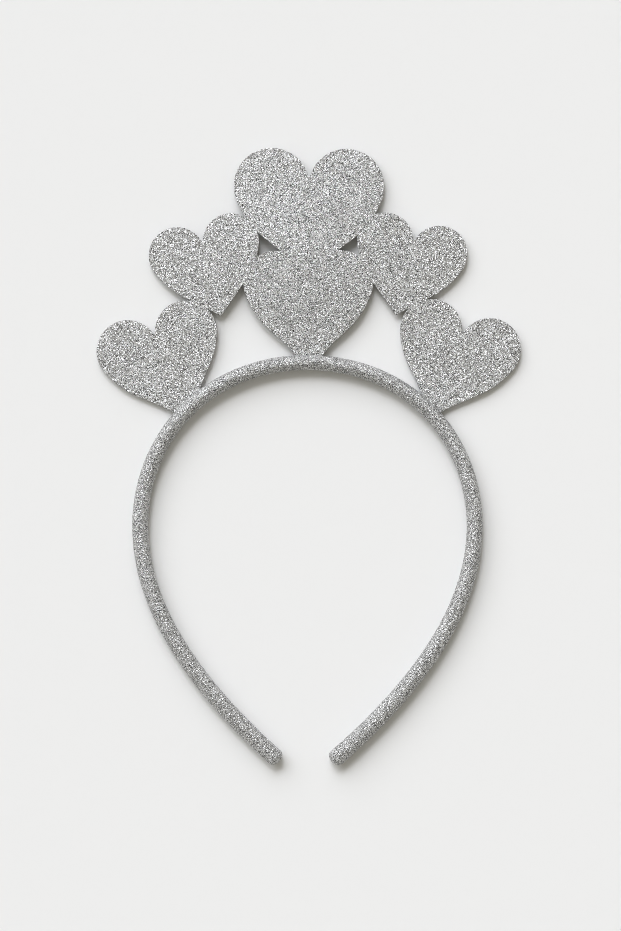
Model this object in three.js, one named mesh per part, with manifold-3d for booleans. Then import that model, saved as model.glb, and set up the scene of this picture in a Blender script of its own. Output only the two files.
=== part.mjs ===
// A glitter hair band: a padded hoop with a crown of six hearts, cut as one sheet, on the top of it.
// It lies flat on a surface, as it does when it is put down.
import * as THREE from "three";
import Module from "manifold-3d";
import { mergeVertices } from "three/addons/utils/BufferGeometryUtils.js";

const wasm = await Module();
wasm.setup();

// Driving dimensions, in millimetres and degrees. The drawing starts at the top of the hoop's
// centreline: +X to the right, +Y away from the hoop's tips, +Z up from the surface it lies on.

// The hoop: an oval padded tube, a little wider towards its tips, which short domes close.
const HOOP = {
  halfLength: 202.7,
  topWidth: 5.6,
  tipWidth: 6.4,
  height: 6.4,
  domeLength: 2.4,
};

// Bend radius of the hoop's centreline, at even steps from its top to either tip.
const BEND_RADII = [71.3, 56.5, 66.9, 146.8, 379];

// The crown: a die-cut sheet, its underside at this level, seated on the hoop's outer side.
// It stands a little askew on the hoop.
const CROWN = {
  thickness: 2,
  level: 0.8,
  turn: 0.8,
  seatGap: 0.3,
};

// A heart's outline: a round lobe, an arc down the side and a straight run to the tip, with small
// roundings in the notch and at the tip. The lobe and side radii are shares of the heart's width,
// and the side arc starts this far below the lobe's level.
const HEART = {
  lobeRadius: 0.2515,
  sideRadius: 0.745,
  sideStart: 21.8,
  tipHalfAngle: 49,
  notchRadius: 0.4,
  tipRadius: 0.8,
};

// The hearts: the point between the lobes' centres, the width, and the turn to the left.
// A paired heart has a mirror image on the other side. The top heart's tip is blunter than the
// others, and the middle heart's notch is shallow, because the top heart's tip fills it.
const HEARTS = {
  top: { ...HEART, x: 0.5, y: 65.7, width: 56.1, turn: -1, sideRadius: 0.64, tipHalfAngle: 53 },
  middle: { ...HEART, x: 0, y: 29.5, width: 48.4, turn: 0.4, notchRadius: 3 },
  upper: { ...HEART, x: 38.8, y: 42.7, width: 41.8, turn: -13.9, paired: true },
  lower: { ...HEART, x: 56.6, y: 8.2, width: 46.2, turn: -18.3, paired: true },
};

// Fineness of the facets.
const FACETS = {
  chord: 1.2,
  chordsPerArc: 3,
  hoopSides: 16,
  hoopSteps: 130,
  domeSteps: 5,
  stations: 400,
};

// Both pieces are covered in the same silver glitter.
const SILVER = { color: 0xb4b4b3, roughness: 0.5, metalness: 0.6 };

// Curvature of the centreline at a distance from its top: straight ramps between the given bends.
function curvatureAt(distance) {
  const place = (distance / HOOP.halfLength) * (BEND_RADII.length - 1);
  const row = Math.min(Math.floor(place), BEND_RADII.length - 2);
  return THREE.MathUtils.lerp(1 / BEND_RADII[row], 1 / BEND_RADII[row + 1], place - row);
}

// The right half of the centreline: place and heading at even steps, the heading turning by the curvature.
function traceCentreline() {
  const step = HOOP.halfLength / FACETS.stations;
  const stations = [{ x: 0, y: 0, heading: 0 }];
  for (let i = 0; i < FACETS.stations; i += 1) {
    const last = stations[i];
    const heading = last.heading + curvatureAt((i + 0.5) * step) * step;
    const mean = (last.heading + heading) / 2;
    stations.push({
      x: last.x + Math.cos(mean) * step,
      y: last.y - Math.sin(mean) * step,
      heading,
    });
  }
  return stations;
}

const CENTRELINE = traceCentreline();

// Place and heading on the right half of the centreline, at a distance from its top.
function centrelineAt(distance) {
  const place = (distance / HOOP.halfLength) * FACETS.stations;
  const row = Math.min(Math.floor(place), FACETS.stations - 1);
  const near = CENTRELINE[row];
  const far = CENTRELINE[row + 1];
  return {
    x: THREE.MathUtils.lerp(near.x, far.x, place - row),
    y: THREE.MathUtils.lerp(near.y, far.y, place - row),
    heading: THREE.MathUtils.lerp(near.heading, far.heading, place - row),
  };
}

// The hoop, or a copy of it grown all round: a straight capsule of radius 1 bent along the centreline.
// Its facets are turned so that a flat one faces straight down, where the padding settles.
function hoopGeometry(grow) {
  const bodyHalf = HOOP.halfLength - HOOP.domeLength;
  const geometry = new THREE.CapsuleGeometry(
    1, 2 * bodyHalf, FACETS.domeSteps, FACETS.hoopSides, FACETS.hoopSteps,
  );
  geometry.rotateY(Math.PI / FACETS.hoopSides);
  const cornerReach = 1 / Math.cos(Math.PI / FACETS.hoopSides);
  const vertices = geometry.attributes.position;
  for (let i = 0; i < vertices.count; i += 1) {
    const length = Math.abs(vertices.getY(i));
    const side = Math.sign(vertices.getY(i));
    const intoDome = Math.max(length - bodyHalf, 0);
    const distance = Math.min(length, bodyHalf) + intoDome * HOOP.domeLength;
    const { x, y, heading } = centrelineAt(distance);
    const width = THREE.MathUtils.lerp(HOOP.topWidth, HOOP.tipWidth, distance / HOOP.halfLength);
    const inward = vertices.getX(i) * cornerReach * (width / 2 + grow);
    const up = vertices.getZ(i) * cornerReach * (HOOP.height / 2 + grow);
    vertices.setXYZ(
      i,
      side * (x - inward * Math.sin(heading)),
      y - inward * Math.cos(heading),
      HOOP.height / 2 + up,
    );
  }
  return geometry;
}

// Points along an arc, from one angle to another, a chord apart, and never fewer chords than the least.
function arcPoints(x, y, radius, from, to) {
  const arcLength = Math.abs(to - from) * radius;
  const count = Math.max(FACETS.chordsPerArc, Math.ceil(arcLength / FACETS.chord));
  return Array.from({ length: count + 1 }, (_, i) => {
    const angle = THREE.MathUtils.lerp(from, to, i / count);
    return new THREE.Vector2(x + radius * Math.cos(angle), y + radius * Math.sin(angle));
  });
}

// The right half of a heart, from the bottom of its notch round the lobe and down to the tip.
// Every arc meets the next one along a shared tangent.
function heartHalf(heart) {
  const { width, notchRadius, tipRadius } = heart;
  const lobe = heart.lobeRadius * width;
  const side = heart.sideRadius * width;
  const sideStart = THREE.MathUtils.degToRad(heart.sideStart);
  const tipHalf = THREE.MathUtils.degToRad(heart.tipHalfAngle);
  const lobeX = width / 2 - lobe;
  const notchY = Math.sqrt((lobe + notchRadius) ** 2 - lobeX ** 2);
  const notchEnd = Math.atan2(-notchY, lobeX);
  const sideX = lobeX + (lobe - side) * Math.cos(sideStart);
  const sideY = (side - lobe) * Math.sin(sideStart);
  const sideReach = side + sideX * Math.cos(tipHalf) - sideY * Math.sin(tipHalf);
  const tipY = (tipRadius - sideReach) / Math.sin(tipHalf);
  return [
    ...arcPoints(0, notchY, notchRadius, -Math.PI / 2, notchEnd),
    ...arcPoints(lobeX, 0, lobe, notchEnd + Math.PI, -sideStart).slice(1),
    ...arcPoints(sideX, sideY, side, -sideStart, -tipHalf).slice(1),
    ...arcPoints(0, tipY, tipRadius, -tipHalf, -Math.PI / 2),
  ];
}

// One heart of the sheet's thickness, at its place in the crown.
function heartGeometry(heart) {
  const right = heartHalf(heart);
  const left = right.slice(1, -1).reverse().map((point) => new THREE.Vector2(-point.x, point.y));
  const outline = new THREE.Shape([...right, ...left]);
  const geometry = new THREE.ExtrudeGeometry(outline, { depth: CROWN.thickness, bevelEnabled: false });
  geometry.rotateZ(THREE.MathUtils.degToRad(heart.turn));
  geometry.translate(heart.x, heart.y, 0);
  return geometry;
}

// A closed mesh as a solid that can be joined and cut. Triangles that shrank to a line are left out.
function toSolid(geometry) {
  geometry.deleteAttribute("normal");
  geometry.deleteAttribute("uv");
  const merged = mergeVertices(geometry);
  const corners = merged.index.array;
  const triangles = [];
  for (let i = 0; i < corners.length; i += 3) {
    const [a, b, c] = corners.slice(i, i + 3);
    if (a !== b && b !== c && c !== a) {
      triangles.push(a, b, c);
    }
  }
  return new wasm.Manifold(new wasm.Mesh({
    numProp: 3,
    vertProperties: merged.attributes.position.array,
    triVerts: new Uint32Array(triangles),
  }));
}

// A solid as a geometry again.
function toGeometry(solid) {
  const mesh = solid.getMesh();
  const geometry = new THREE.BufferGeometry();
  geometry.setAttribute("position", new THREE.BufferAttribute(mesh.vertProperties, 3));
  geometry.setIndex(new THREE.BufferAttribute(mesh.triVerts, 1));
  geometry.computeVertexNormals();
  return geometry;
}

// The crown: all hearts joined into one sheet, set on the hoop and cut to seat against it.
function crownGeometry() {
  const drawn = Object.values(HEARTS);
  const mirrored = drawn.filter((heart) => heart.paired)
    .map((heart) => ({ ...heart, x: -heart.x, turn: -heart.turn }));
  const sheet = [...drawn, ...mirrored]
    .map((heart) => toSolid(heartGeometry(heart)))
    .reduce((joined, heart) => joined.add(heart));
  const placed = toGeometry(sheet);
  placed.translate(0, 0, CROWN.level);
  placed.rotateZ(THREE.MathUtils.degToRad(CROWN.turn));
  return toGeometry(toSolid(placed).subtract(toSolid(hoopGeometry(CROWN.seatGap))));
}

function namedMesh(name, geometry) {
  const mesh = new THREE.Mesh(geometry, new THREE.MeshStandardMaterial(SILVER));
  mesh.name = name;
  return mesh;
}

const band = namedMesh("band", toGeometry(toSolid(hoopGeometry(0))));
const heartCrown = namedMesh("heart_crown", crownGeometry());

// The part's origin is the middle of its footprint, on the surface it lies on.
const part = new THREE.Group();
part.add(band, heartCrown);
const footprint = new THREE.Box3().setFromObject(part);
const middle = footprint.getCenter(new THREE.Vector3());
part.position.set(-middle.x, -middle.y, -footprint.min.z);

export default part;
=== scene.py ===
"""The looks of a glitter hair band with a crown of hearts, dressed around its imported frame.

Lengths are in metres, in the frame's axes: the band lies on z = 0 and +Y points away from its tips.
"""

import logging
import math
from dataclasses import dataclass, field
from enum import Enum
from typing import Any

import bpy
import numpy as np
from mathutils.geometry import delaunay_2d_cdt
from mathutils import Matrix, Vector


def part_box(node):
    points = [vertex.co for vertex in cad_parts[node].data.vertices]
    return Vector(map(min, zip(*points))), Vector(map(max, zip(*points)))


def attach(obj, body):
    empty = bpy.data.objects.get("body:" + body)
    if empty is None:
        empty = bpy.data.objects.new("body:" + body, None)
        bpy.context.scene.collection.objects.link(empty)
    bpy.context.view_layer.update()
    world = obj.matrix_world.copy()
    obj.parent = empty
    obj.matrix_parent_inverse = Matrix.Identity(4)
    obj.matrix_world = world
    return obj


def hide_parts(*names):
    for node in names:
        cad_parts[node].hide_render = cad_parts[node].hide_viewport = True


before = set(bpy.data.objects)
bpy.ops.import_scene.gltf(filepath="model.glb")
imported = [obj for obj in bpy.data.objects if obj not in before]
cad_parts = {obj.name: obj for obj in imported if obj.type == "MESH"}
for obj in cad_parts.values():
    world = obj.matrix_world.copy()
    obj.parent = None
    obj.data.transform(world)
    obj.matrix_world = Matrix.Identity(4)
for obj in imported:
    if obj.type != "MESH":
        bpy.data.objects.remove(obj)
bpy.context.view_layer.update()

MM = 0.001
# Step from row to row in an even grid of triangles, as a share of the step along a row.
ROW_RATIO = math.sqrt(3) / 2

Colour = tuple[float, float, float, float]

log = logging.getLogger("hair_band")


class Slot(Enum):
    """Names of two material slots, which nothing in the script uses."""

    BAND = "band_glitter"
    CROWN = "crown_glitter"


class Surface(Enum):
    """The order of the materials on a piece."""

    GLITTER = 0
    CUT_EDGE = 1


class Nodes:
    """A material's or world's node tree, emptied, to which nodes are added one by one."""

    def __init__(self, owner: bpy.types.Material | bpy.types.World) -> None:
        """Turns the owner's nodes on and clears them.

        Args:
            owner: the material or the world.
        """
        owner.use_nodes = True
        self.tree = owner.node_tree
        self.tree.nodes.clear()

    def node(self, kind: str, settings: dict[str, Any], inputs: dict[str | int, Any]) -> bpy.types.Node:
        """Adds one node.

        Args:
            kind: the node's type, such as ShaderNodeMath.
            settings: properties of the node, which are set first.
            inputs: a value, socket or Value for each input, by the input's name or number.

        Returns:
            The new node.
        """
        added = self.tree.nodes.new(kind)
        for name, setting in settings.items():
            setattr(added, name, setting)
        for key, given in inputs.items():
            source = given.socket if isinstance(given, Value) else given
            if isinstance(source, bpy.types.NodeSocket):
                self.tree.links.new(source, added.inputs[key])
            else:
                added.inputs[key].default_value = source
        return added

    def value(self, kind: str, settings: dict[str, Any], inputs: dict[str | int, Any], out: str) -> "Value":
        """Adds one node and wraps its output of the given name."""
        return Value(self, self.node(kind, settings, inputs).outputs[out])

    def vector(self, operation: str, *terms: Any) -> bpy.types.NodeSocket:
        """Adds one Vector Math node for the operation on the terms and gives its vector."""
        added = self.node("ShaderNodeVectorMath", {"operation": operation}, dict(enumerate(terms)))
        return added.outputs["Vector"]

    def mix(self, share: "Value", low: Colour, high: Colour) -> bpy.types.NodeSocket:
        """Adds one Mix node for two colours.

        Args:
            share: how much there is of the high colour, from 0 to 1.
            low: the colour at a share of 0.
            high: the colour at a share of 1.

        Returns:
            The mixed colour.
        """
        share_input, low_input, high_input, colour_output = 0, 6, 7, 2
        inputs = {share_input: share, low_input: low, high_input: high}
        return self.node("ShaderNodeMix", {"data_type": "RGBA"}, inputs).outputs[colour_output]

    def cells(self, per_metre: float) -> bpy.types.Node:
        """Adds a pattern of cells in the object's coordinates, so many to a metre."""
        place = self.node("ShaderNodeTexCoord", {}, {}).outputs["Object"]
        return self.node("ShaderNodeTexVoronoi", {"feature": "F1"}, {"Vector": place, "Scale": per_metre})

    def principled(self, inputs: dict[str | int, Any]) -> None:
        """Adds a Principled shader with these inputs and makes it the material's surface."""
        shader = self.node("ShaderNodeBsdfPrincipled", {}, inputs)
        self.node("ShaderNodeOutputMaterial", {}, {"Surface": shader.outputs["BSDF"]})


@dataclass(frozen=True)
class Value:
    """A number's socket, on which arithmetic adds Math nodes."""

    nodes: Nodes
    socket: bpy.types.NodeSocket

    def _math(self, operation: str, first: "Value | float", second: "Value | float") -> "Value":
        """Adds one Math node for the operation on the two terms."""
        return self.nodes.value("ShaderNodeMath", {"operation": operation}, {0: first, 1: second}, "Value")

    def __add__(self, other: "Value | float") -> "Value":
        """This plus the other."""
        return self._math("ADD", self, other)

    __radd__ = __add__

    def __sub__(self, other: "Value | float") -> "Value":
        """This less the other."""
        return self._math("SUBTRACT", self, other)

    def __rsub__(self, other: float) -> "Value":
        """A number less this."""
        return self._math("SUBTRACT", other, self)

    def __mul__(self, other: "Value | float") -> "Value":
        """This times the other."""
        return self._math("MULTIPLY", self, other)

    __rmul__ = __mul__

    def __pow__(self, power: float) -> "Value":
        """This to a power."""
        return self._math("POWER", self, power)

    def angle_of_sine(self) -> "Value":
        """The angle whose sine this is."""
        return self._math("ARCSINE", self, 0.0)

    def angle_from(self, other: "Value") -> "Value":
        """The angle of the direction that runs this far aside and the other far along."""
        return self._math("ARCTAN2", self, other)


@dataclass(frozen=True)
class Glitter:
    """Silver glitter: small cells in the object's coordinates, each a flake with its own look and tilt."""

    name: str
    flake_size: float
    dim: Colour
    bright: Colour
    tone_power: float
    metal_least: float
    metal_most: float
    rough_least: float
    rough_most: float
    tilt: float

    def material(self) -> bpy.types.Material:
        """Makes the material.

        Returns:
            A material whose colour runs from dim to bright by the flake's tone to a power, whose roughness
            and metal run evenly between their limits, and whose normal leans a random way on each flake.
        """
        made = bpy.data.materials.new(self.name)
        nodes = Nodes(made)
        flakes = nodes.cells(1 / self.flake_size)
        draws = nodes.node("ShaderNodeSeparateColor", {}, {"Color": flakes.outputs["Color"]})
        tone, gloss, metal = (Value(nodes, socket) for socket in draws.outputs)
        spread = nodes.node("ShaderNodeTexWhiteNoise", {}, {"Vector": flakes.outputs["Position"]})
        lean = nodes.vector(
            "MULTIPLY_ADD", spread.outputs["Color"], (2 * self.tilt,) * 3, (-self.tilt,) * 3
        )
        flat = nodes.node("ShaderNodeNewGeometry", {}, {})
        nodes.principled({
            "Base Color": nodes.mix(tone ** self.tone_power, self.dim, self.bright),
            "Roughness": self.rough_least + (self.rough_most - self.rough_least) * gloss,
            "Metallic": self.metal_least + (self.metal_most - self.metal_least) * metal,
            "Normal": nodes.vector("NORMALIZE", nodes.vector("ADD", flat.outputs["Normal"], lean)),
        })
        return made


@dataclass(frozen=True)
class CutFoam:
    """The sheet's cut edge: matt grey foam with fine open cells, their hollows painted darker as shade."""

    name: str
    pore_painted_shade: Colour
    wall: Colour
    cells_per_metre: float
    roughness: float
    bump_strength: float
    bump_depth: float

    def material(self) -> bpy.types.Material:
        """Makes the material.

        Returns:
            A material whose colour and bump follow the distance from the nearest cell's middle.
        """
        made = bpy.data.materials.new(self.name)
        nodes = Nodes(made)
        from_middle = Value(nodes, nodes.cells(self.cells_per_metre).outputs["Distance"])
        bump = nodes.node("ShaderNodeBump", {}, {
            "Strength": self.bump_strength, "Distance": self.bump_depth, "Height": from_middle,
        })
        nodes.principled({
            # painted shade: the darker colour sits in the pores' middles, which are the bump's hollows
            "Base Color": nodes.mix(from_middle, self.pore_painted_shade, self.wall),
            "Roughness": self.roughness,
            "Normal": bump.outputs["Normal"],
        })
        return made


@dataclass(frozen=True)
class MattPaper:
    """The pale, even surface that the band lies on."""

    name: str
    colour: Colour
    roughness: float

    def material(self) -> bpy.types.Material:
        """Makes the material.

        Returns:
            A material of one plain colour with no shine.
        """
        made = bpy.data.materials.new(self.name)
        Nodes(made).principled({
            "Base Color": self.colour, "Roughness": self.roughness, "Specular IOR Level": 0.0,
        })
        return made


BAND_GLITTER = Glitter(
    name="silver_glitter_cloth",
    flake_size=0.18 * MM,
    dim=(0.02, 0.02, 0.02, 1),
    bright=(1.0, 1.0, 0.985, 1),
    tone_power=1.3,
    metal_least=0.3,
    metal_most=0.8,
    rough_least=0.3,
    rough_most=0.6,
    tilt=0.6,
)
CROWN_GLITTER = Glitter(
    name="silver_glitter_sheet",
    flake_size=0.19 * MM,
    dim=(0.01, 0.01, 0.01, 1),
    bright=(1.0, 1.0, 0.985, 1),
    tone_power=1.2,
    metal_least=0.4,
    metal_most=0.9,
    rough_least=0.25,
    rough_most=0.55,
    tilt=0.5,
)
CROWN_EDGE = CutFoam(
    name="cut_grey_foam",
    # painted shade in the pores' hollows; the wall colour is the foam's own grey
    pore_painted_shade=(0.29, 0.29, 0.285, 1),
    wall=(0.45, 0.45, 0.445, 1),
    cells_per_metre=3500,
    roughness=0.85,
    bump_strength=0.6,
    bump_depth=0.1 * MM,
)
PALE_FLOOR = MattPaper(name="pale_paper", colour=(0.80, 0.80, 0.79, 1), roughness=0.9)


def make_piece(
    name: str, points: np.ndarray, triangles: np.ndarray, surfaces: np.ndarray
) -> bpy.types.Object:
    """Puts a closed triangle mesh into the scene, at the origin, with flat facets.

    Args:
        name: the piece's name.
        points: vertex places, one row each.
        triangles: vertex numbers, three to a row, turning to the left seen from outside.
        surfaces: the material number of each triangle.

    Returns:
        The new object.
    """
    mesh = bpy.data.meshes.new(name)
    mesh.from_pydata(points, [], triangles)
    mesh.polygons.foreach_set("material_index", surfaces.astype(np.int32))
    mesh.update()
    piece = bpy.data.objects.new(name, mesh)
    bpy.context.scene.collection.objects.link(piece)
    return piece


def running_total(steps: np.ndarray) -> np.ndarray:
    """Adds steps up one after another, with a zero before the first."""
    return np.concatenate([[0.0], np.cumsum(steps)])


@dataclass
class Hoop:
    """The band: an oval padded tube in glitter cloth, bent to a hoop, with a short dome on each tip."""

    half_length: float = 202.7 * MM
    top_width: float = 5.6 * MM
    tip_width: float = 6.4 * MM
    height: float = 6.4 * MM
    dome_length: float = 2.4 * MM
    bend_radii: tuple[float, ...] = (71.3 * MM, 56.5 * MM, 66.9 * MM, 146.8 * MM, 379 * MM)
    grain_step: float = 0.55 * MM
    grain_relief: float = 0.03 * MM
    grain_scatter: float = 0.26
    stations: int = 2000
    seed: int = 5
    name: str = "glitter_hoop"
    place: np.ndarray = field(init=False)

    def __post_init__(self) -> None:
        """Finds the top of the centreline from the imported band's box."""
        low, high = (np.array(corner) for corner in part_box("band"))
        self.place = np.array([(low[0] + high[0]) / 2, high[1] - self.top_width / 2])

    def centreline(self, distance: np.ndarray) -> tuple[np.ndarray, np.ndarray]:
        """Follows the hoop's centreline from its top, to the right for a positive distance.

        The curvature ramps evenly from one bend radius to the next, the heading is its running total,
        and the place is the running total of the heading's cosine and sine. The left half mirrors it.

        Args:
            distance: distances along the centreline from its top.

        Returns:
            The places in the plane, one row each, and the outward directions, likewise.
        """
        along = np.linspace(0, self.half_length, self.stations + 1)
        knots = np.linspace(0, self.half_length, len(self.bend_radii))
        step = along[1]
        middles = along[:-1] + step / 2
        heading = running_total(np.interp(middles, knots, 1 / np.array(self.bend_radii)) * step)
        mean = (heading[:-1] + heading[1:]) / 2
        reach = np.abs(distance)
        side = np.where(distance < 0, -1.0, 1.0)
        x = side * np.interp(reach, along, running_total(np.cos(mean) * step))
        y = np.interp(reach, along, running_total(-np.sin(mean) * step))
        turn = np.interp(reach, along, heading)
        outward = np.stack([side * np.sin(turn), np.cos(turn)], axis=-1)
        return np.stack([x, y], axis=-1) + self.place, outward

    def width(self, distance: np.ndarray) -> np.ndarray:
        """The tube's width at distances from the top, which grows evenly towards the tips."""
        return self.top_width + (self.tip_width - self.top_width) * np.abs(distance) / self.half_length

    def surface(self, distance: np.ndarray, angle: np.ndarray, proud: np.ndarray) -> np.ndarray:
        """Places points on the tube.

        The section is an oval: the angle's cosine times half the width goes outward, its sine times
        half the height goes up. In the domes the oval shrinks as a quarter ellipse does. A point below
        the floor is set on it, as padding settles.

        Args:
            distance: distance along the centreline, from tip to tip.
            angle: the angle round the section, from the outer side up.
            proud: how far the point stands off the oval.

        Returns:
            The points, one row each.
        """
        body_half = self.half_length - self.dome_length
        into_dome = np.maximum(np.abs(distance) - body_half, 0) / self.dome_length
        shrink = np.sqrt(np.maximum(1 - into_dome**2, 0))
        centre, outward = self.centreline(distance)
        across = (self.width(distance) / 2 * shrink + proud) * np.cos(angle)
        up = self.height / 2 + (self.height / 2 * shrink + proud) * np.sin(angle)
        flat = centre + across[..., None] * outward
        return np.concatenate([flat, np.maximum(up, 0)[..., None]], axis=-1)

    def build(self) -> bpy.types.Object:
        """Builds the tube from staggered rings of shaken points, and a point on each tip.

        Returns:
            The hoop's object.
        """
        draw = np.random.default_rng(self.seed)
        round_length = math.pi * (self.tip_width + self.height) / 2
        sides = round(round_length / self.grain_step)
        rings = 2 * round(self.half_length / (self.grain_step * ROW_RATIO))
        ring_step = 2 * self.half_length / rings
        ring = np.arange(1, rings)
        shake = draw.uniform(-self.grain_scatter, self.grain_scatter, (2, len(ring), sides))
        distance = np.clip(
            -self.half_length + (ring[:, None] + shake[0]) * ring_step,
            ring_step / 2 - self.half_length,
            self.half_length - ring_step / 2,
        )
        angle = 2 * np.pi * (np.arange(sides) + ring[:, None] % 2 / 2 + shake[1]) / sides
        proud = draw.normal(0, self.grain_relief, distance.shape)
        body = self.surface(distance, angle, proud).reshape(-1, 3)
        tip_distance = np.array([-self.half_length, self.half_length])
        tips = self.surface(tip_distance, np.zeros(2), np.zeros(2))
        triangles = self.rings_to_triangles(len(ring), sides)
        surfaces = np.full(len(triangles), Surface.GLITTER.value)
        return make_piece(self.name, np.concatenate([body, tips]), triangles, surfaces)

    @staticmethod
    def rings_to_triangles(rings: int, sides: int) -> np.ndarray:
        """Joins staggered rings, and the end rings to the two tip points that follow all the rings.

        Odd rings lie half a step on, so the pair of triangles in each cell leans the other way there.

        Args:
            rings: how many rings there are, the first being an odd one.
            sides: how many points each ring has.

        Returns:
            Vertex numbers, three to a row, facing out.
        """
        numbers = np.arange(rings * sides).reshape(rings, sides)
        here, beside = numbers[:-1], np.roll(numbers[:-1], -1, axis=1)
        ahead, across = numbers[1:], np.roll(numbers[1:], -1, axis=1)
        odd = np.arange(rings - 1) % 2 == 0
        in_odd = ((here, beside, across), (here, across, ahead))
        in_even = ((here, beside, ahead), (ahead, beside, across))
        cells = [np.stack(corners, -1)[odd].reshape(-1, 3) for corners in in_odd]
        cells += [np.stack(corners, -1)[~odd].reshape(-1, 3) for corners in in_even]
        first, last = numbers[0], numbers[-1]
        start, end = np.full(sides, rings * sides), np.full(sides, rings * sides + 1)
        caps = [
            np.stack([start, np.roll(first, -1), first], -1),
            np.stack([end, last, np.roll(last, -1)], -1),
        ]
        return np.concatenate(cells + caps)

    def dress(self, piece: bpy.types.Object) -> None:
        """Gives the hoop its glitter and its place in the part.

        Args:
            piece: the hoop's object.
        """
        piece.data.materials.append(BAND_GLITTER.material())
        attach(piece, "root")
        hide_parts("band")


@dataclass
class Outline:
    """A sheet's outline as directed steps with the sheet on their left, from points to following points."""

    points: np.ndarray
    following: np.ndarray

    def without_short_steps(self, least: float) -> "Outline":
        """Leaves out each point that starts a step shorter than the least, and steps over it.

        Args:
            least: the shortest step to keep. No two short steps may follow each other.

        Returns:
            The outline of the points that are left.
        """
        short = np.linalg.norm(self.points[self.following] - self.points, axis=1) < least
        following = np.where(short[self.following], self.following[self.following], self.following)
        number = np.cumsum(~short) - 1
        return Outline(self.points[~short], number[following[~short]])

    def inward(self) -> np.ndarray:
        """Finds the way into the sheet at each point, the mean of its two steps' left-hand normals.

        Returns:
            Directions of length 1, one row each.
        """
        step = self.points[self.following] - self.points
        normal = np.stack([-step[:, 1], step[:, 0]], -1) / np.linalg.norm(step, axis=1)[:, None]
        both = normal.copy()
        both[self.following] += normal
        return both / np.linalg.norm(both, axis=1)[:, None]

    def holds(self, places: np.ndarray) -> np.ndarray:
        """Tells which places lie on the sheet, by counting the steps to the right of each.

        Args:
            places: places in the plane, one row each.

        Returns:
            True for each place with an odd count.
        """
        start, end = self.points, self.points[self.following]
        rise = np.where(end[:, 1] == start[:, 1], np.inf, end[:, 1] - start[:, 1])
        slope = (end[:, 0] - start[:, 0]) / rise
        x, y = places[:, :1], places[:, 1:]
        passes = (start[:, 1] > y) != (end[:, 1] > y)
        to_the_right = passes & (x < start[:, 0] + (y - start[:, 1]) * slope)
        return np.count_nonzero(to_the_right, axis=1) % 2 == 1

    def distance(self, places: np.ndarray) -> np.ndarray:
        """The distance from each place to the nearest point of the outline."""
        apart = places[:, None, :] - self.points[None, :, :]
        return np.sqrt((apart**2).sum(axis=-1).min(axis=1))


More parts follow.
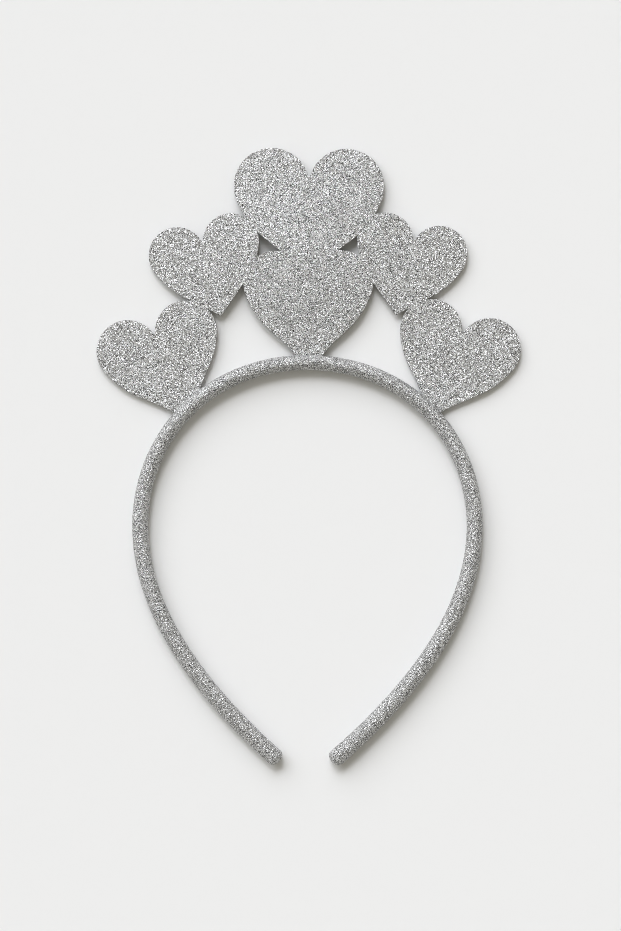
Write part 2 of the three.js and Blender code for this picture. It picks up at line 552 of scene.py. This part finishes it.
@dataclass
class HeartCrown:
    """The crown: six hearts cut as one stiff sheet, glitter on both faces and bare foam on the cut edge."""

    grain_step: float = 0.55 * MM
    grain_relief: float = 0.03 * MM
    grain_scatter: float = 0.26
    edge_round: float = 0.15 * MM
    edge_relief: float = 0.02 * MM
    edge_rows: int = 4
    seat_gap: float = 0.3 * MM
    seat_depth: float = 1.2 * MM
    seat_reach: float = 4.0 * MM
    bow_rise: float = 2.8 * MM
    bow_from_top: tuple[float, float] = (-7 * MM, 40 * MM)
    bow_reach: tuple[float, float] = (28 * MM, 24 * MM)
    rim_drop: float = 0.3 * MM
    merge_step: float = 0.001 * MM
    least_step: float = 0.1 * MM
    chunks: int = 24
    seed: int = 8
    name: str = "glitter_heart_crown"
    bottom: float = field(init=False)
    top: float = field(init=False)

    def __post_init__(self) -> None:
        """Takes the sheet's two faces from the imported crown's box."""
        low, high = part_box("heart_crown")
        self.bottom, self.top = low[2], high[2]

    def drawn_outline(self) -> Outline:
        """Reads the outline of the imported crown's upper face.

        The loose triangles' corners are merged, the triangles at the top are kept, and a step is on the
        outline if no other of these triangles runs it the other way.

        Returns:
            The outline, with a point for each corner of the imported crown, less the shortest steps.
        """
        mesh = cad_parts["heart_crown"].data
        mesh.calc_loop_triangles()
        places = np.empty(3 * len(mesh.vertices))
        corners = np.empty(3 * len(mesh.loop_triangles), np.int32)
        mesh.vertices.foreach_get("co", places)
        mesh.loop_triangles.foreach_get("vertices", corners)
        merged, number = np.unique(
            np.round(places.reshape(-1, 3) / self.merge_step), axis=0, return_inverse=True
        )
        merged = merged * self.merge_step
        triangles = number.reshape(-1)[corners].reshape(-1, 3)
        is_top = (merged[triangles, 2] > self.top - 2 * self.merge_step).all(axis=1)
        steps = np.concatenate([triangles[is_top][:, pair] for pair in ([0, 1], [1, 2], [2, 0])])
        forth = steps[:, 0].astype(np.int64) * len(merged) + steps[:, 1]
        back = steps[:, 1].astype(np.int64) * len(merged) + steps[:, 0]
        edge = steps[~np.isin(forth, back)]
        order = np.full(len(merged), -1)
        order[edge[:, 0]] = np.arange(len(edge))
        return Outline(merged[edge[:, 0], :2], order[edge[:, 1]]).without_short_steps(self.least_step)

    def fine_outline(self, drawn: Outline, hoop: Hoop) -> Outline:
        """Divides each step of the drawn outline to the grain's step, and runs the seats into the hoop.

        A point on a seat moves towards the centreline of the hoop's upper half, over the gap and
        to a depth inside the hoop. Points further out move less, and those beyond the reach stay.

        Args:
            drawn: the outline as packed.
            hoop: the hoop that the crown sits on.

        Returns:
            The outline with steps as fine as the grain.
        """
        step = drawn.points[drawn.following] - drawn.points
        pieces = np.maximum(np.ceil(np.linalg.norm(step, axis=1) / self.grain_step), 1).astype(int)
        first = running_total(pieces).astype(int)
        owner = np.repeat(np.arange(len(pieces)), pieces)
        share = (np.arange(first[-1]) - first[owner]) / pieces[owner]
        points = drawn.points[owner] + share[:, None] * step[owner]
        following = np.arange(1, first[-1] + 1)
        following[first[1:] - 1] = first[:-1][drawn.following]
        upper_half = hoop.half_length / 2
        distance = np.linspace(-upper_half, upper_half, hoop.stations)
        centres, _ = hoop.centreline(distance)
        nearest = np.linalg.norm(points[:, None] - centres[None], axis=-1).argmin(axis=1)
        away = points - centres[nearest]
        gap = np.linalg.norm(away, axis=1)
        beyond = gap - hoop.width(distance[nearest]) / 2 - self.seat_gap
        pull = np.clip(1 - beyond / self.seat_reach, 0, 1) * (self.seat_gap + self.seat_depth)
        return Outline(centres[nearest] + away * (1 - pull / gap)[:, None], following)

    def face_points(self, rim: Outline, draw: np.random.Generator) -> np.ndarray:
        """Spreads points over the sheet inside its rim, in staggered rows, each shaken off its place.

        Args:
            rim: the outline of the flat part of the face.
            draw: the random generator.

        Returns:
            Places in the plane, one row each.
        """
        low, high = rim.points.min(axis=0), rim.points.max(axis=0)
        columns, rows = np.ceil((high - low) / self.grain_step / [1, ROW_RATIO]).astype(int) + 1
        column, row = np.meshgrid(np.arange(columns), np.arange(rows))
        grid = np.stack([column + row % 2 / 2, row * ROW_RATIO], -1).reshape(-1, 2)
        grid = grid + draw.uniform(-self.grain_scatter, self.grain_scatter, grid.shape)
        places = low + grid * self.grain_step
        parts = np.array_split(places, self.chunks)
        kept = [part[rim.holds(part)] for part in parts]
        return np.concatenate([part[rim.distance(part) > self.grain_step / 2] for part in kept])

    def bow(self, places: np.ndarray, hoop: Hoop) -> np.ndarray:
        """Finds how far the sheet bows up: most at one place, falling off as a bell curve to a slight drop.

        Args:
            places: places in the plane, one row each.
            hoop: the hoop, from whose top the bow's place is counted.

        Returns:
            The rise at each place.
        """
        off = (places - hoop.place - self.bow_from_top) / self.bow_reach
        return self.bow_rise * np.exp(-(off**2).sum(axis=1) / 2) - self.rim_drop

    def build(self, hoop: Hoop) -> bpy.types.Object:
        """Builds the sheet: two faces of small triangles with an uneven relief, joined by the cut edge.

        Args:
            hoop: the hoop that the crown sits on.

        Returns:
            The crown's object.
        """
        draw = np.random.default_rng(self.seed)
        outline = self.fine_outline(self.drawn_outline(), hoop)
        inward = outline.inward()
        rim = Outline(outline.points + self.edge_round * inward, outline.following)
        flat = np.concatenate([rim.points, self.face_points(rim, draw)])
        rim_count, flat_count = len(rim.points), len(flat)
        rim_steps = np.stack([np.arange(rim_count), rim.following], -1)
        face = self.triangulate(flat, rim_steps, rim)
        relief = draw.normal(0, self.grain_relief, (2, flat_count))
        relief[:, :rim_count] = 0
        face_rise, edge_rise = self.bow(flat, hoop), self.bow(outline.points, hoop)
        front = np.column_stack([flat, self.top + face_rise + relief[0]])
        back = np.column_stack([flat, self.bottom + face_rise + relief[1]])
        levels = np.linspace(self.bottom + self.edge_round, self.top - self.edge_round, self.edge_rows)
        proud = draw.normal(0, self.edge_relief, (self.edge_rows, rim_count, 1))
        walls = [
            np.column_stack([outline.points - out * inward, level + edge_rise])
            for level, out in zip(levels, proud)
        ]
        wall_start = 2 * flat_count + rim_count * np.arange(self.edge_rows)
        ladder = [flat_count, *wall_start, 0]
        strips = [self.strip(rim_steps, lower, upper) for lower, upper in zip(ladder[:-1], ladder[1:])]
        triangles = np.concatenate([face, face[:, ::-1] + flat_count, *strips])
        surfaces = np.full(len(triangles), Surface.GLITTER.value)
        # The first strip and the last one are the rounded edges, which keep the glitter.
        cut_start = 2 * len(face) + 2 * rim_count
        surfaces[cut_start:-2 * rim_count] = Surface.CUT_EDGE.value
        return make_piece(self.name, np.concatenate([front, back, *walls]), triangles, surfaces)

    def triangulate(self, flat: np.ndarray, rim_steps: np.ndarray, rim: Outline) -> np.ndarray:
        """Joins the face's points to triangles that keep the rim's steps, and leaves out those in holes.

        Args:
            flat: the face's points, the rim's first.
            rim_steps: the rim's steps as pairs of point numbers.
            rim: the rim itself.

        Returns:
            Point numbers, three to a row, turning to the left.
        """
        inside_rim = 1
        same_place_mm = 1e-6
        with_sources = True
        _, _, faces, sources, _, _ = delaunay_2d_cdt(
            (flat / MM).tolist(), rim_steps.tolist(), [], inside_rim, same_place_mm, with_sources
        )
        first_source = np.array([source[0] for source in sources])
        corners = first_source[np.array(faces)]
        middles = flat[corners].mean(axis=1)
        held = np.concatenate([rim.holds(part) for part in np.array_split(middles, self.chunks)])
        return corners[held]

    @staticmethod
    def strip(steps: np.ndarray, lower: int, upper: int) -> np.ndarray:
        """Joins two copies of the outline by a strip of triangles that faces out of the sheet.

        Args:
            steps: the outline's steps as pairs of point numbers.
            lower: the number of the lower copy's first point.
            upper: the number of the upper copy's first point.

        Returns:
            Point numbers, three to a row.
        """
        start, end = steps[:, 0], steps[:, 1]
        low_half = np.stack([start + lower, end + lower, end + upper], -1)
        high_half = np.stack([start + lower, end + upper, start + upper], -1)
        return np.concatenate([low_half, high_half])

    def dress(self, piece: bpy.types.Object) -> None:
        """Gives the crown its glitter, its cut edge and its place in the part.

        Args:
            piece: the crown's object.
        """
        piece.data.materials.append(CROWN_GLITTER.material())
        piece.data.materials.append(CROWN_EDGE.material())
        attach(piece, "root")
        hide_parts("heart_crown")


@dataclass
class Studio:
    """The pale floor, the soft light and the camera, which looks straight down."""

    floor_half: float = 8.0
    floor_drop: float = 0.05 * MM
    image_height: int = 931
    pixel: float = 0.3725 * MM
    aim_from_top: tuple[float, float] = (0.94 * MM, -38.34 * MM)
    aim_level: float = 3.2 * MM
    camera_turn: float = math.radians(0.46)
    lens_mm: float = 120.0
    sensor_mm: float = 36.0
    key_strength: float = 0.89
    key_colour: tuple[float, float, float] = (0.92, 0.94, 1.0)
    key_elevation: float = math.radians(52)
    key_heading: float = math.radians(104)
    key_spread: float = math.radians(20)
    window_heading: float = math.radians(120)
    window_level: float = math.radians(36)
    window_half_width: float = math.radians(45)
    window_half_height: float = math.radians(22)
    window_fade: float = 0.2
    window_colour: Colour = (3.98, 4.04, 4.23, 1)
    fill_colour: Colour = (0.380, 0.365, 0.325, 1)
    backdrop: Colour = (0.86, 0.86, 0.84, 1)
    filter_pixels: float = 0.8

    def build(self, hoop: Hoop) -> None:
        """Sets up the floor, the lights and the camera over the hoop, and shows colours as they are.

        The glitter is finer than a pixel, so the pixel filter is narrow, and the denoiser's guides,
        which are the picture's plain colours and normals, aren't smoothed.

        Args:
            hoop: the hoop that the camera looks down on.
        """
        self.add_floor()
        self.add_key()
        self.add_window()
        self.add_camera(hoop)
        bpy.context.scene.view_settings.view_transform = "Standard"
        bpy.context.scene.cycles.filter_width = self.filter_pixels
        bpy.context.scene.cycles.denoising_prefilter = "NONE"

    def add_floor(self) -> None:
        """Lays one large square just under the band, so that the two never share a plane."""
        reach, level = self.floor_half, -self.floor_drop
        corners = [
            (-reach, -reach, level),
            (reach, -reach, level),
            (reach, reach, level),
            (-reach, reach, level),
        ]
        mesh = bpy.data.meshes.new("floor")
        mesh.from_pydata(corners, [], [(0, 1, 2, 3)])
        mesh.materials.append(PALE_FLOOR.material())
        floor = bpy.data.objects.new("floor", mesh)
        bpy.context.scene.collection.objects.link(floor)

    def add_key(self) -> None:
        """Hangs the key light, high in the picture's upper left, wide enough for soft shadows."""
        light = bpy.data.lights.new("key", "SUN")
        light.energy = self.key_strength
        light.color = self.key_colour
        light.angle = self.key_spread
        key = bpy.data.objects.new("key", light)
        key.rotation_euler = (0, math.pi / 2 - self.key_elevation, self.key_heading)
        bpy.context.scene.collection.objects.link(key)

    def add_window(self) -> None:
        """Makes the room: a wide soft window, a little warm light all round and a pale backdrop.

        The window is an oval in the angles round and up. Its measure is the root of the sum of the
        two angles' squares, each angle as a share of the window's half size, and the light fades
        out around a measure of 1. The camera sees the backdrop instead.
        """
        world = bpy.data.worlds.new("room")
        nodes = Nodes(world)
        place = nodes.node("ShaderNodeTexCoord", {}, {})
        way = nodes.node("ShaderNodeSeparateXYZ", {}, {"Vector": place.outputs["Generated"]})
        x, y, z = (Value(nodes, socket) for socket in way.outputs)
        cosine, sine = math.cos(self.window_heading), math.sin(self.window_heading)
        around = (y * cosine - x * sine).angle_from(x * cosine + y * sine) * (1 / self.window_half_width)
        above = (z.angle_of_sine() - self.window_level) * (1 / self.window_half_height)
        measure = (around * around + above * above) ** 0.5
        share = nodes.value(
            "ShaderNodeMapRange",
            {"interpolation_type": "SMOOTHSTEP"},
            {"Value": measure, "From Min": 1 + self.window_fade, "From Max": 1 - self.window_fade},
            "Result",
        )
        light = nodes.mix(share, self.fill_colour, self.window_colour)
        room = nodes.node("ShaderNodeBackground", {}, {"Color": light})
        pale = nodes.node("ShaderNodeBackground", {}, {"Color": self.backdrop})
        ray = nodes.node("ShaderNodeLightPath", {}, {})
        seen = nodes.node("ShaderNodeMixShader", {}, {
            0: ray.outputs["Is Camera Ray"], 1: room.outputs["Background"], 2: pale.outputs["Background"],
        })
        nodes.node("ShaderNodeOutputWorld", {}, {"Surface": seen.outputs["Shader"]})
        bpy.context.scene.world = world

    def add_camera(self, hoop: Hoop) -> None:
        """Sets the camera over its aim, so high that a pixel covers its size at the aim's level.

        Args:
            hoop: the hoop, from whose top the aim is counted.
        """
        data = bpy.data.cameras.new("camera")
        data.lens = self.lens_mm
        data.sensor_width = self.sensor_mm
        camera = bpy.data.objects.new("camera", data)
        x, y = hoop.place + self.aim_from_top
        rise = self.image_height * self.pixel * self.lens_mm / self.sensor_mm
        camera.location = (x, y, self.aim_level + rise)
        camera.rotation_euler = (0, 0, self.camera_turn)
        bpy.context.scene.collection.objects.link(camera)
        bpy.context.scene.camera = camera


def main() -> None:
    """Builds the studio, then the hoop and the crown on it, and reports each piece."""
    logging.basicConfig(level=logging.INFO, format="%(name)s: %(message)s")
    hoop = Hoop()
    Studio().build(hoop)
    band = hoop.build()
    hoop.dress(band)
    log.info("%s has %d triangles", band.name, len(band.data.polygons))
    crown = HeartCrown()
    hearts = crown.build(hoop)
    crown.dress(hearts)
    log.info("%s has %d triangles", hearts.name, len(hearts.data.polygons))


if __name__ == "__main__":
    main()
